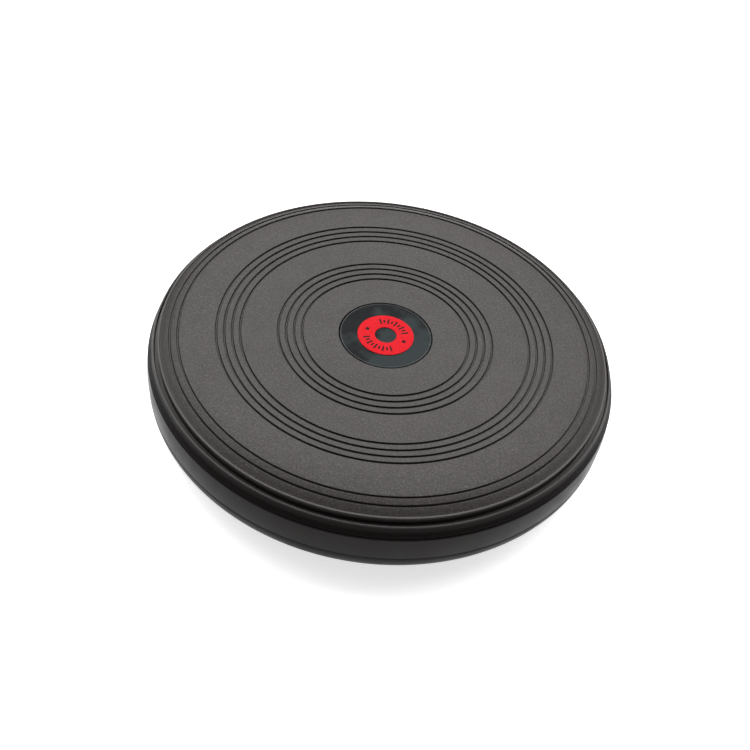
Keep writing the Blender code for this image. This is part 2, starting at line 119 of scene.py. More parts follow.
# Base details
SEAM_GAP = 0.3 * MM
DOME_LOW = 0.6 * MM
DOME_EDGE = (187.0 * MM, 16.2 * MM)
DOME_RISE = DOME_EDGE[1] - DOME_LOW
DOME_SPHERE = (DOME_EDGE[0] ** 2 + DOME_RISE**2) / (2 * DOME_RISE)
RIM_STEPS = 20
BASE_WALL = 5.0 * MM
SPIGOT_THICKNESS = 2.5 * MM
SPIGOT_HEIGHT = 5 * MM
SPIGOT_ROOT = 4 * MM  # how far below the seam the spigot's inner face meets the dome
INSIDE_RADII = (40 * MM, 80 * MM, 120 * MM, 150 * MM, 180 * MM)  # where the dome's inner face has points
RUBBER_PROUD = 1.0 * MM
PAD_THICKNESS = 3.0 * MM
PAD_LANDING = 30 * MM
PAD_GROOVES = (54 * MM, 48 * MM, 42 * MM, 36 * MM)
PAD_GROOVE_DEPTH = MM
GRIP_RING = (140.0 * MM, 152.0 * MM, 2.4 * MM)  # inner and outer radius, and thickness
GRIP_GROOVE_DEPTH = 0.9 * MM
SCREW_COUNT = 6
SCREW_CIRCLE = 95.0 * MM
SCREW_SEAT = 30.0 * MM
SEAT_RADIUS = 5.1 * MM
BOSS_RADIUS = 8.5 * MM

# Camera: where it looks on the standing surface, and from where
CAMERA_AIM = Vector((-0.0039, -0.0495, TOP))
CAMERA_DISTANCE = 1.0596
CAMERA_ELEVATION = math.radians(45.15)
CAMERA_ROLL = math.radians(8.57)
CAMERA_LENS = 62.0
FLOOR_HALF_WIDTH = 12.0
FLOOR_DROP = 0.0002

# Studio light: how bright each part of the surroundings is, and where one part turns into the next
SOFTBOX_LIGHT = 5.4
SOFTBOX_EDGE = (-0.05, 0.45)
FRONT_LIGHT = 0.30
SIDE_LIGHT = 1.1
FRONT_EDGE = (-0.6, 0.3)
LEFT_RIGHT_EDGE = (-0.5, 0.5)
RIGHT_SHARE = 0.25  # the right side's light as a share of the left side's
HORIZON_LIGHT = 0.25
HORIZON_EDGE = (0.22, 0.74)
FLOOR_GLOW = 0.66
BACKDROP = 1.0  # the white that is seen behind the board, above the floor's far edge


# ---------------------------------------------------------------- camera, floor and light


def make_camera():
    data = bpy.data.cameras.new("camera")
    data.lens = CAMERA_LENS
    data.sensor_width = 36.0
    camera = bpy.data.objects.new("camera", data)
    away = Vector((0.0, -math.cos(CAMERA_ELEVATION), math.sin(CAMERA_ELEVATION)))
    tilt = Matrix.Rotation(math.pi / 2 - CAMERA_ELEVATION, 4, "X")
    roll = Matrix.Rotation(CAMERA_ROLL, 4, "Z")
    camera.matrix_world = Matrix.Translation(CAMERA_AIM + CAMERA_DISTANCE * away) @ tilt @ roll
    bpy.context.scene.collection.objects.link(camera)
    bpy.context.scene.camera = camera


def make_floor():
    mesh = bpy.data.meshes.new("floor")
    shape = bmesh.new()
    bmesh.ops.create_grid(shape, x_segments=1, y_segments=1, size=FLOOR_HALF_WIDTH)
    shape.to_mesh(mesh)
    shape.free()
    floor = bpy.data.objects.new("floor", mesh)
    floor.location.z = -FLOOR_DROP
    bpy.context.scene.collection.objects.link(floor)
    material = bpy.data.materials.new("pale_floor")
    material.use_nodes = True
    shader = material.node_tree.nodes["Principled BSDF"]
    shader.inputs["Base Color"].default_value = (0.88, 0.88, 0.88, 1.0)
    shader.inputs["Roughness"].default_value = 0.9
    shader.inputs["Specular IOR Level"].default_value = 0.1
    shader.inputs["Emission Color"].default_value = (1.0, 1.0, 1.0, 1.0)
    shader.inputs["Emission Strength"].default_value = FLOOR_GLOW
    mesh.materials.append(material)


def node_value(links, socket, value):
    """Sets a socket to a number, or links it to another node's output."""
    if isinstance(value, (int, float)):
        socket.default_value = value
    else:
        links.new(value, socket)


def make_world():
    """A studio's light by direction, and the plain white that the camera sees behind the floor.

    The light is a broad softbox high at the back, dimmer sides and front, and a pale horizon.
    """
    world = bpy.data.worlds.new("studio")
    world.use_nodes = True
    nodes = world.node_tree.nodes
    links = world.node_tree.links
    split = nodes.new("ShaderNodeSeparateXYZ")
    links.new(nodes.new("ShaderNodeTexCoord").outputs["Generated"], split.inputs[0])

    def ramp(axis, low, high, low_value, high_value):
        node = nodes.new("ShaderNodeMapRange")
        node.interpolation_type = "SMOOTHSTEP"
        for socket, value in zip(list(node.inputs)[1:5], (low, high, low_value, high_value)):
            node_value(links, socket, value)
        links.new(split.outputs[axis], node.inputs["Value"])
        return node.outputs["Result"]

    softbox = ramp("Y", *SOFTBOX_EDGE, 0.0, SOFTBOX_LIGHT)
    room = ramp("Y", *FRONT_EDGE, FRONT_LIGHT, SIDE_LIGHT)
    side = ramp("X", *LEFT_RIGHT_EDGE, 1.0, RIGHT_SHARE)
    sided = nodes.new("ShaderNodeMath")
    sided.operation = "MULTIPLY"
    links.new(room, sided.inputs[0])
    links.new(side, sided.inputs[1])
    sky = nodes.new("ShaderNodeMath")
    links.new(softbox, sky.inputs[0])
    links.new(sided.outputs[0], sky.inputs[1])
    light = ramp("Z", *HORIZON_EDGE, HORIZON_LIGHT, sky.outputs[0])
    backdrop = nodes.new("ShaderNodeMix")
    links.new(nodes.new("ShaderNodeLightPath").outputs["Is Camera Ray"], backdrop.inputs["Factor"])
    links.new(light, backdrop.inputs["A"])
    backdrop.inputs["B"].default_value = BACKDROP
    links.new(backdrop.outputs["Result"], nodes["Background"].inputs["Color"])
    bpy.context.scene.world = world
    bpy.context.scene.view_settings.view_transform = "Standard"


# ---------------------------------------------------------------- outlines


def arc_steps(turn):
    """Enough steps for a small round to look smooth."""
    fewest, most = ARC_STEP_LIMITS
    return max(fewest, min(most, int(math.ceil(abs(turn) / ARC_TURN))))


def rounded(points):
    """An outline of (radius, height, corner round) points, with each corner rounded by a smooth curve."""
    result = []
    last = len(points) - 1
    for i, (x, z, corner) in enumerate(points):
        here = Vector((x, z))
        if i in (0, last) or corner == 0:
            result.append(here)
            continue
        before = Vector(points[i - 1][:2]) - here
        after = Vector(points[i + 1][:2]) - here
        reach_limit = 0.49 * min(before.length, after.length)
        half = before.angle(after) / 2
        reach = min(corner / math.tan(half), reach_limit) if half > 0.01 else reach_limit
        start = here + before.normalized() * reach
        end = here + after.normalized() * reach
        steps = arc_steps(math.pi - 2 * half)
        for step in range(steps + 1):
            t = step / steps
            result.append(start * (1 - t) ** 2 + here * 2 * t * (1 - t) + end * t**2)
    return result


def turned(name, outline, steps=FINE_STEPS, closed=False):
    """A piece turned about the Z axis, from an outline that runs down its outer side."""
    points = [tuple(p) for p in outline]
    verts = []
    rings = []
    turns = [2 * math.pi * (i + 0.5) / steps for i in range(steps)]
    for radius, height in points:
        if radius < 1e-7:
            rings.append([len(verts)] * steps)
            verts.append((0.0, 0.0, height))
            continue
        rings.append(list(range(len(verts), len(verts) + steps)))
        verts += [(radius * math.cos(turn), radius * math.sin(turn), height) for turn in turns]
    pairs = list(zip(rings, rings[1:]))
    if closed:
        pairs.append((rings[-1], rings[0]))
    faces = []
    for upper, lower in pairs:
        for i in range(steps):
            j = (i + 1) % steps
            corners = [upper[i], lower[i], lower[j], upper[j]]
            face = list(dict.fromkeys(corners))
            if len(face) > 2:
                faces.append(face)
    mesh = bpy.data.meshes.new(name)
    mesh.from_pydata(verts, [], faces)
    mesh.validate()
    return finished(name, mesh)


def finished(name, mesh):
    """A smooth-shaded piece with its sharp edges kept."""
    mesh.shade_smooth()
    mesh.set_sharp_from_angle(angle=SMOOTH_ANGLE)
    piece = bpy.data.objects.new(name, mesh)
    bpy.context.scene.collection.objects.link(piece)
    return piece


def install(piece, material, slot, *nodes):
    """Gives a piece its material, and puts it in the place of CAD nodes."""
    piece.data.materials.clear()
    piece.data.materials.append(material)
    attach(piece, "root")
    if nodes:
        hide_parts(*nodes)
    return piece


# ---------------------------------------------------------------- material helpers


class Shade:
    """A Principled material and short calls that add nodes to it."""

    def __init__(self, name, colour, roughness, metallic=0.0, **values):
        self.material = bpy.data.materials.new(name)
        self.material.use_nodes = True
        self.nodes = self.material.node_tree.nodes
        self.links = self.material.node_tree.links
        self.shader = self.nodes["Principled BSDF"]
        self.shader.inputs["Base Color"].default_value = (*colour, 1.0)
        self.shader.inputs["Roughness"].default_value = roughness
        self.shader.inputs["Metallic"].default_value = metallic
        for socket, value in values.items():
            self.shader.inputs[socket.replace("_", " ")].default_value = value
        self.place = self.nodes.new("ShaderNodeTexCoord").outputs["Object"]

    def axis(self, name, vector=None):
        node = self.nodes.new("ShaderNodeSeparateXYZ")
        self.links.new(vector or self.place, node.inputs[0])
        return node.outputs[name]

    def radius(self):
        """Distance from the object's upright axis."""
        length = self.nodes.new("ShaderNodeVectorMath")
        length.operation = "LENGTH"
        self.links.new(self.scaled((1.0, 1.0, 0.0)), length.inputs[0])
        return length.outputs["Value"]

    def facing(self, name):
        """How much the surface faces along an axis of the object."""
        return self.axis(name, self.nodes.new("ShaderNodeTexCoord").outputs["Normal"])

    def scaled(self, scale):
        mapping = self.nodes.new("ShaderNodeMapping")
        mapping.inputs["Scale"].default_value = scale
        self.links.new(self.place, mapping.inputs["Vector"])
        return mapping.outputs["Vector"]

    def noise(self, scale, detail=4.0, rough=0.55, place=None):
        node = self.nodes.new("ShaderNodeTexNoise")
        node.inputs["Scale"].default_value = scale
        node.inputs["Detail"].default_value = detail
        node.inputs["Roughness"].default_value = rough
        self.links.new(place or self.place, node.inputs["Vector"])
        return node.outputs["Fac"]

    def cells(self, scale, smooth=0.6):
        """Rounded cells, like the pebbles of a moulded skin."""
        node = self.nodes.new("ShaderNodeTexVoronoi")
        node.feature = "SMOOTH_F1"
        node.inputs["Scale"].default_value = scale
        node.inputs["Smoothness"].default_value = smooth
        self.links.new(self.place, node.inputs["Vector"])
        return node.outputs["Distance"]

    def remap(self, value, low, high, to_low, to_high):
        node = self.nodes.new("ShaderNodeMapRange")
        numbers = {"From Min": low, "From Max": high, "To Min": to_low, "To Max": to_high}
        for socket, number in numbers.items():
            node.inputs[socket].default_value = number
        self.links.new(value, node.inputs["Value"])
        return node.outputs["Result"]

    def maths(self, operation, first, second):
        node = self.nodes.new("ShaderNodeMath")
        node.operation = operation
        for socket, value in zip(node.inputs, (first, second)):
            node_value(self.links, socket, value)
        return node.outputs[0]

    def mix(self, factor, first, second):
        node = self.nodes.new("ShaderNodeMix")
        node.data_type = "RGBA"
        self.links.new(factor, node.inputs["Factor"])
        for socket, value in ((node.inputs["A"], first), (node.inputs["B"], second)):
            if isinstance(value, tuple):
                socket.default_value = (*value, 1.0)
            else:
                self.links.new(value, socket)
        return node.outputs["Result"]

    def edges(self, low, high):
        """How sharp the surface is here: 0 where it is flat or hollow, 1 on an outer edge."""
        geometry = self.nodes.new("ShaderNodeNewGeometry")
        return self.remap(geometry.outputs["Pointiness"], low, high, 0.0, 1.0)

    def colour(self, value):
        self.links.new(value, self.shader.inputs["Base Color"])

    def roughness(self, value):
        self.links.new(value, self.shader.inputs["Roughness"])

    def bump(self, height, strength, distance, over=None):
        node = self.nodes.new("ShaderNodeBump")
        node.inputs["Strength"].default_value = strength
        node.inputs["Distance"].default_value = distance
        self.links.new(height, node.inputs["Height"])
        if over:
            self.links.new(over, node.inputs["Normal"])
        self.links.new(node.outputs["Normal"], self.shader.inputs["Normal"])
        return node.outputs["Normal"]


# ---------------------------------------------------------------- materials


def foam_material(name, sheen, side):
    """Moulded foam skin: a fine pebble grain and faint clouding, a painted highlight that makes up-facing
    faces out on the raised edges paler, and painted shade that gives steep sides a darker colour.
    """
    shade = Shade(name, (0.031, 0.028, 0.027), 0.42, Specular_IOR_Level=sheen)
    clouds = shade.remap(shade.noise(9.0, 3.0), 0.3, 0.7, 0.0, 1.0)
    base = shade.mix(clouds, (0.0300, 0.0265, 0.0253), (0.0345, 0.0305, 0.0292))
    grain = shade.noise(620.0, 2.0, 0.7)
    low_grain = shade.remap(grain, 0.30, 0.50, 0.65, 0.0)
    dark_grain = shade.mix(low_grain, base, (0.0150, 0.0132, 0.0126))
    high_grain = shade.remap(grain, 0.52, 0.72, 0.0, 0.80)
    spotted = shade.mix(high_grain, dark_grain, (0.0620, 0.0560, 0.0535))
    # painted shade: faces tilted away from straight up take the darker side colour
    unshaded_upward = shade.remap(shade.facing("Z"), 0.80, 0.93, 0.0, 1.0)
    # painted highlight: up-facing faces out on the raised edges take a paler colour
    highlight_band = shade.remap(shade.radius(), HIGHLIGHT_FROM, HIGHLIGHT_FROM + 0.4 * MM, 0.0, 1.0)
    # the paler colour mixed in here is the painted highlight, not wear
    rubbed = shade.mix(highlight_band, spotted, (0.0540, 0.0495, 0.0480))
    shade.colour(shade.mix(unshaded_upward, side, rubbed))
    shade.roughness(shade.remap(shade.noise(60.0, 3.0), 0.3, 0.7, 0.38, 0.46))
    pebble = shade.bump(shade.cells(720.0), 0.7, 0.00022)
    shade.bump(grain, 0.4, 0.00018, over=pebble)
    return shade.material


def gel_material():
    """Dark teal gel, clouded and shinier in some places, with a painted reflection: paler towards the right
    and the front, nearly black towards the left and the back.
    """
    shade = Shade("gel_body", (0.010, 0.017, 0.020), 0.16, Specular_IOR_Level=0.035)
    # painted reflection: the colour leans paler to the right and to the front, on top of random clouding
    across = shade.remap(shade.axis("X"), -GEL_RADIUS, GEL_RADIUS, -0.22, 0.16)
    along = shade.remap(shade.axis("Y"), -GEL_RADIUS, GEL_RADIUS, 0.14, -0.14)
    mottle_and_reflection = shade.maths("ADD", shade.noise(42.0, 2.5), shade.maths("ADD", across, along))
    cloud_and_reflection = shade.remap(mottle_and_reflection, 0.42, 0.58, 0.0, 1.0)
    shade.colour(shade.mix(cloud_and_reflection, (0.0003, 0.0011, 0.0017), (0.0130, 0.0185, 0.0195)))
    shade.roughness(shade.remap(shade.noise(70.0, 2.0), 0.3, 0.7, 0.10, 0.26))
    shade.bump(shade.noise(55.0, 1.5), 0.5, 0.0010)
    return shade.material


def gel_rim_material():
    # pale grey on the gel's fine bead: a painted highlight
    shade = Shade("gel_bead_painted_highlight", (0.030, 0.031, 0.031), 0.2, Specular_IOR_Level=0.12)
    shade.colour(shade.mix(shade.noise(120.0, 2.0), (0.015, 0.017, 0.018), (0.050, 0.050, 0.050)))
    shade.roughness(shade.remap(shade.noise(160.0, 2.0), 0.3, 0.7, 0.15, 0.30))
    return shade.material


def print_material(name, colour, darker):
    shade = Shade(name, colour, 0.45, Specular_IOR_Level=0.04)
    shade.colour(shade.mix(shade.remap(shade.noise(260.0, 3.0), 0.3, 0.7, 0.0, 1.0), darker, colour))
    shade.roughness(shade.remap(shade.noise(400.0, 2.0), 0.3, 0.7, 0.40, 0.55))
    shade.bump(shade.noise(700.0, 2.0), 0.12, 0.00005)
    return shade.material


def plastic_material(name, colour, paler, roughness):
    """Moulded plastic: a soft sheen, faint flow marks round the wall, and rubbed corners."""
    shade = Shade(name, colour, roughness, Specular_IOR_Level=0.075)
    flow = shade.noise(14.0, 3.0, place=shade.scaled((1.0, 1.0, 6.0)))
    patchy = shade.remap(shade.noise(120.0, 4.0), 0.45, 0.7, 0.2, 1.0)
    worn = shade.maths("MULTIPLY", shade.edges(0.52, 0.60), patchy)
    flow_mark = tuple(1.12 * channel for channel in colour)
    base = shade.mix(shade.remap(flow, 0.35, 0.65, 0.0, 1.0), colour, flow_mark)
    shade.colour(shade.mix(worn, base, paler))
    shade.roughness(shade.remap(shade.noise(45.0, 4.0), 0.3, 0.7, roughness - 0.05, roughness + 0.07))
    shade.bump(shade.noise(1500.0, 2.0), 0.10, 0.00004)
    return shade.material


def rubber_material():
    shade = Shade("sole_rubber", (0.02, 0.02, 0.02), 0.8, Specular_IOR_Level=0.35)
    dust = shade.remap(shade.noise(80.0, 5.0), 0.5, 0.75, 0.0, 0.5)
    shade.colour(shade.mix(dust, (0.017, 0.017, 0.017), (0.060, 0.058, 0.055)))
    shade.roughness(shade.remap(shade.noise(150.0, 3.0), 0.3, 0.7, 0.7, 0.9))
    shade.bump(shade.noise(1300.0, 3.0), 0.35, 0.0001)
    return shade.material


def metal_material(name, colour, darker, scale):
    """Turned or plated metal with fine circular tool marks."""
    shade = Shade(name, colour, 0.32, metallic=1.0)
    marks = shade.noise(scale, 4.0, place=shade.scaled((1.0, 1.0, 12.0)))
    shade.colour(shade.mix(shade.remap(marks, 0.3, 0.7, 0.0, 1.0), darker, colour))
    shade.roughness(shade.remap(marks, 0.3, 0.7, 0.25, 0.42))
    shade.bump(marks, 0.15, 0.00005)
    return shade.material


def plywood_material():
    """Birch plywood: grain along the faces and thin bands on the edge."""
    shade = Shade("birch_ply", (0.50, 0.34, 0.19), 0.55)
    grain = shade.noise(30.0, 5.0, place=shade.scaled((1.0, 9.0, 40.0)))
    streaks = shade.remap(grain, 0.35, 0.65, 0.0, 1.0)
    shade.colour(shade.mix(streaks, (0.38, 0.25, 0.13), (0.56, 0.40, 0.24)))
    shade.roughness(shade.remap(grain, 0.3, 0.7, 0.5, 0.65))
    shade.bump(grain, 0.2, 0.0002)
    return shade.material


# ---------------------------------------------------------------- cushion and centre disc


def groove_outline(radius, inner_rim, outer_rim, floor):
    """A flat-bottomed groove from its inner lip to its outer lip."""
    half = GROOVE_HALF_WIDTH
    return [
        (radius - half, inner_rim, GROOVE_LIP_ROUND),
        (radius - GROOVE_FLOOR_SHARE * half, floor, GROOVE_FLOOR_ROUND),
        (radius + GROOVE_FLOOR_SHARE * half, floor, GROOVE_FLOOR_ROUND),
        (radius + half, outer_rim, GROOVE_LIP_ROUND),
    ]


def top_outline():
    """The pocket for the gel disc, and the standing surface out to where it has crowned down."""
    pocket = GEL_RADIUS + GAP
    floor = GEL_FLOOR - GAP
    points = [(0.0, floor, 0.0), (pocket, floor, 0.3 * MM), (pocket, TOP - 0.1 * MM, 0.0)]
    points.append((pocket + 0.5 * MM, TOP, 0.5 * MM))
    for first, pitch in GROOVE_GROUPS:
        for i in range(GROOVES_IN_GROUP):
            points += groove_outline(first + i * pitch, TOP, TOP, TOP - GROOVE_DEPTH)
    outer, drop, steps = CROWN
    for i in range(steps):
        share = i / steps
        points.append((FLAT_RADIUS + (outer - FLAT_RADIUS) * share, TOP - drop * share**2, 0.0))
    return points


def edge_outline():
    """The rolled edge, the two raised edges and the deep hollow between them."""
    points = []
    for radius, inner_rim, outer_rim, floor in EDGE_GROOVES:
        points += groove_outline(radius, TOP - inner_rim, TOP - outer_rim, TOP - floor)
    (inner, inner_depth), (foot, foot_depth) = SHOULDER
    bead, bead_z = UPPER_BEAD[0], TOP - UPPER_BEAD[1]
    low_bead, low_z = LOWER_BEAD[0], TOP - LOWER_BEAD[1]
    hollow, hollow_z = HOLLOW[0], TOP - HOLLOW[1]
    points += [
        (inner, TOP - inner_depth, 5.0 * MM),
        (foot, TOP - foot_depth, 0.5 * MM),
        (bead - 1.7 * MM, bead_z - 0.2 * MM, 0.3 * MM),
        (bead - 0.9 * MM, bead_z + 0.1 * MM, 0.5 * MM),
        (bead - 0.1 * MM, bead_z - 0.1 * MM, 0.35 * MM),
        (bead, bead_z - 1.0 * MM, 0.4 * MM),
        (hollow, bead_z - 2.6 * MM, 1.0 * MM),
        (hollow, hollow_z, 0.5 * MM),
        (low_bead - 2.1 * MM, hollow_z, 0.4 * MM),
        (low_bead - 1.7 * MM, low_z - 0.2 * MM, 0.2 * MM),
        (low_bead - 1.1 * MM, low_z + 0.05 * MM, 0.3 * MM),
        (low_bead - 0.3 * MM, low_z - 0.15 * MM, 0.3 * MM),
        (low_bead, low_z - 0.8 * MM, 0.4 * MM),
        (low_bead - 0.1 * MM, low_z - 2.2 * MM, 1.0 * MM),
        (low_bead + 0.5 * MM, PARTING + 4.2 * MM, 5.0 * MM),
        (CUSHION_RADIUS - 0.4 * MM, PARTING + 0.8 * MM, 0.5 * MM),
        (CUSHION_RADIUS - 0.8 * MM, PARTING, 0.4 * MM),
    ]
    return points


def make_cushion():
    """The foam cushion, open underneath where the deck sits in it."""
    pocket = DECK_RADIUS + GAP
    ceiling = DECK_TOP + GAP
    inside = [(pocket, PARTING, 0.3 * MM), (pocket, ceiling, 0.5 * MM), (0.0, ceiling, 0.0)]
    cushion = turned("cushion_skin", rounded(top_outline() + edge_outline() + inside))
    # the third colour is painted shade for the skin's steep faces
    skin = foam_material("foam_skin", 0.14, (0.0180, 0.0158, 0.0150))
    install(cushion, skin, "cushion_foam", "cushion")
    # a darker copy of the foam for the side below the lower raised edge: painted shade, with less sheen
    cushion.data.materials.append(foam_material("foam_side_painted_shade", 0.035, (0.0058, 0.0046, 0.0043)))
    # faces at the side below this level take the painted-shade copy
    side_top = TOP - LOWER_BEAD[1] - SIDE_DROP
    for face in cushion.data.polygons:
        x, y, z = face.center
        if z < side_top and math.hypot(x, y) > LOWER_BEAD[0] - MM:
            face.material_index = 1


def make_gel():
    """The gel disc: flat under the print, rising to a fine bead just inside its edge, coloured pale as a
    painted highlight.
    """
    flat = BADGE_RADIUS + 0.6 * MM
    edge = GEL_RADIUS - 0.7 * MM
    edge_z = TOP - 0.20 * MM
    side = GEL_RADIUS - GAP
    points = [(0.0, GEL_TOP, 0.0)]
    for i in range(GEL_CURVE_STEPS + 1):
        share = i / GEL_CURVE_STEPS
        lift = (edge_z - GEL_TOP) * share**2 * (3 - 2 * share)
        points.append((flat + (edge - flat) * share, GEL_TOP + lift, 0.0))
    points += [(side, edge_z - 0.5 * MM, GEL_SIDE_ROUND), (side, GEL_FLOOR, 0.2 * MM), (0.0, GEL_FLOOR, 0.0)]
    gel = turned("gel_disc", rounded(points), SMALL_STEPS)
    install(gel, gel_material(), "gel", "gel_pad")
    centre = edge - 0.9 * MM
    half = GEL_BEAD_HALF_WIDTH
    points = [
        (centre - half, edge_z - 0.05 * MM, 0.0),
        (centre - 0.5 * half, edge_z + 0.15 * MM, 0.2 * MM),
        (centre + 0.5 * half, edge_z + 0.15 * MM, 0.2 * MM),
        (centre + half, edge_z - 0.05 * MM, 0.0),
        (centre, edge_z - 0.3 * MM, 0.0),
    ]
    bead = turned("gel_bead", rounded(points), SMALL_STEPS, closed=True)
    install(bead, gel_rim_material(), "gel")


def sector(name, inner, outer, start, end, low, high, steps):
    """A flat bar cut out of a ring, between two turns and two heights."""
    mesh = bpy.data.meshes.new(name)
    shape = bmesh.new()
    turns = [start + (end - start) * i / steps for i in range(steps + 1)]
    rim = [(outer * math.cos(t), outer * math.sin(t)) for t in turns]
    rim += [(inner * math.cos(t), inner * math.sin(t)) for t in reversed(turns)]
    face = shape.faces.new([shape.verts.new((x, y, low)) for x, y in rim])
    shape.normal_update()
    if face.normal.z > 0:
        face.normal_flip()
    lifted = bmesh.ops.extrude_face_region(shape, geom=[face])["geom"]
    upper = [part for part in lifted if isinstance(part, bmesh.types.BMVert)]
    bmesh.ops.translate(shape, verts=upper, vec=(0, 0, high - low))
    bmesh.ops.recalc_face_normals(shape, faces=shape.faces)
    shape.to_mesh(mesh)
    shape.free()
    return mesh


def joined(name, meshes):
    """Several meshes as one piece."""
    shape = bmesh.new()
    for mesh in meshes:
        shape.from_mesh(mesh)
        bpy.data.meshes.remove(mesh)
    result = bpy.data.meshes.new(name)
    shape.to_mesh(result)
    shape.free()
    return finished(name, result)


def dot_mesh(place):
    """A plain round dot of ink."""
    foot, top = DOT_RADII
    mesh = bpy.data.meshes.new("dot")
    shape = bmesh.new()
    bmesh.ops.create_cone(
        shape, cap_ends=True, segments=DOT_STEPS, radius1=foot, radius2=top, depth=DOT_THICKNESS
    )
    bmesh.ops.translate(shape, verts=shape.verts, vec=place)
    shape.to_mesh(mesh)
    shape.free()
    return mesh


def make_badge():
    """The printed ring: plain radial ticks in two arcs with a dot between them."""
    low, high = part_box("badge_ring")[0].z, BADGE_TOP
    outline = [
        (BADGE_HOLE, low, 0.0),
        (BADGE_HOLE, high, BADGE_ROUND),
        (BADGE_RADIUS, high, BADGE_ROUND),
        (BADGE_RADIUS, low, 0.0),
    ]
    ring = turned("badge_print", rounded(outline), SMALL_STEPS, closed=True)
    red = print_material("red_print", (0.48, 0.0042, 0.0105), (0.42, 0.0036, 0.0085))
    install(ring, red, "badge_print", "badge_ring")
    ink = print_material("dark_ink", (0.020, 0.0055, 0.0060), (0.010, 0.0040, 0.0045))
    middle = (BADGE_HOLE + BADGE_RADIUS) / 2
    half = TICK_HALF_WIDTH / middle
    ink_top = high + INK_PROUD
    ticks = []
    for centre in TICK_ARCS:
        for i in range(-TICKS_EACH_SIDE, TICKS_EACH_SIDE + 1):
            turn = math.radians(centre + TICK_SPACING * i)
            ends = (middle - TICK_REACHES[i % 2], middle + TICK_REACHES[i % 2])
            ticks.append(sector("tick", *ends, turn - half, turn + half, high - INK_SINK, ink_top, TICK_STEPS))
    install(joined("badge_ticks", ticks), ink, "badge_print")
    dots = []
    for turn in map(math.radians, DOT_TURNS):
        place = (middle * math.cos(turn), middle * math.sin(turn), ink_top - DOT_THICKNESS / 2)
        dots.append(dot_mesh(Vector(place)))
    install(joined("badge_dots", dots), ink, "badge_print")


# ---------------------------------------------------------------- shell and base


def make_shell():
    """The side wall: a soft belly, a fine lip under the cushion and a rounded foot."""
    foot = SHELL_FOOT
    inside = CUSHION_RADIUS - SHELL_WALL
    flange = SHELL_TOP - SHELL_WALL
    points = [
        (FLANGE_INNER_RADIUS, SHELL_TOP, 0.4 * MM),
        (CUSHION_RADIUS - 0.8 * MM, SHELL_TOP, 0.5 * MM),
        (CUSHION_RADIUS + 0.4 * MM, SHELL_TOP - 1.0 * MM, 1.5 * MM),
        (SHELL_RADIUS, SHELL_TOP - 13.0 * MM, 60 * MM),
        (CUSHION_RADIUS, foot + 0.4 * MM, 0.3 * MM),
        (CUSHION_RADIUS - 0.4 * MM, foot, 0.2 * MM),
        (inside, foot, 0.3 * MM),
        (inside, flange, 2.0 * MM),
        (FLANGE_INNER_RADIUS, flange, 0.4 * MM),
        (FLANGE_INNER_RADIUS, SHELL_TOP - SHELL_WALL / 2, 0.0),
    ]
    shell = turned("shell_wall", rounded(points), closed=True)
    plastic = plastic_material("shell_satin", (0.0090, 0.0077, 0.0074), (0.024, 0.021, 0.020), 0.36)
    install(shell, plastic, "shell_plastic", "lower_shell")
    return plastic


def dome_z(radius, offset=0.0):
    """Height of the dome's outer face, or of a face parallel to it."""
    return DOME_LOW + DOME_SPHERE - math.sqrt((DOME_SPHERE - offset) ** 2 - radius**2)


def rim_outline():
    """The rounded rim from the seam down to the edge of the dome."""
    start = SHELL_FOOT - SEAM_GAP
    edge, edge_z = DOME_EDGE
    slope = edge / math.sqrt(DOME_SPHERE**2 - edge**2)
    reach = BASE_RADIUS - edge
    rise = start - edge_z - slope * reach
    points = []
    for i in range(RIM_STEPS + 1):
        turn = math.pi / 2 * i / RIM_STEPS
        across = reach * math.cos(turn)
        points.append((edge + across, edge_z + slope * across + rise * (1 - math.sin(turn)), 0.0))
    return points


def recess_outline(inner, outer, depth):
    """A recess in the dome's outer face, open to the middle where the inner radius is zero."""
    points = [(outer, dome_z(outer), 0.3 * MM), (outer, dome_z(outer, depth), 0.3 * MM)]
    if inner > 0:
        points += [(inner, dome_z(inner, depth), 0.3 * MM), (inner, dome_z(inner), 0.3 * MM)]
    return points


def dome_points(start, end, steps):
    """Points on the dome between two radii, without the ends."""
    radii = [start + (end - start) * i / steps for i in range(1, steps)]
    return [(radius, dome_z(radius), 0.0) for radius in radii]


def make_base(plastic):
    """The domed base: a spigot inside the shell, a rounded rim, and recesses for the rubber."""
    spigot = CUSHION_RADIUS - SHELL_WALL - GAP
    spigot_inside = spigot - SPIGOT_THICKNESS
    seam = SHELL_FOOT - SEAM_GAP
    spigot_top = seam + SPIGOT_HEIGHT
    inner, outer, thickness = GRIP_RING
    pad_recess = PAD_THICKNESS - RUBBER_PROUD
    points = [(spigot_inside, spigot_top, 0.5 * MM), (spigot, spigot_top, 0.5 * MM), (spigot, seam, 0.3 * MM)]
    points += [(BASE_RADIUS - 0.3 * MM, seam, 0.2 * MM)] + rim_outline()[1:]
    points += dome_points(DOME_EDGE[0], outer, 8)
    points += recess_outline(inner - GAP, outer + GAP, thickness - RUBBER_PROUD)
    points += dome_points(inner, PAD_RADIUS, 14)
    points += recess_outline(0.0, PAD_RADIUS + GAP, pad_recess)
    points += [(r, dome_z(r, pad_recess), 0.0) for r in (45 * MM, 30 * MM, 15 * MM, 0.0)]
    inside = [(0.0, dome_z(0.0, BASE_WALL), 0.0)]
    inside += [(r, dome_z(r, BASE_WALL), 0.0) for r in INSIDE_RADII]
    inside += [(spigot_inside, seam - SPIGOT_ROOT, 2 * MM)]
    base = turned("base_dome", rounded(inside + points), BASE_STEPS)
    cut_screw_holes(base)
    install(base, plastic, "base_plastic")
    return base


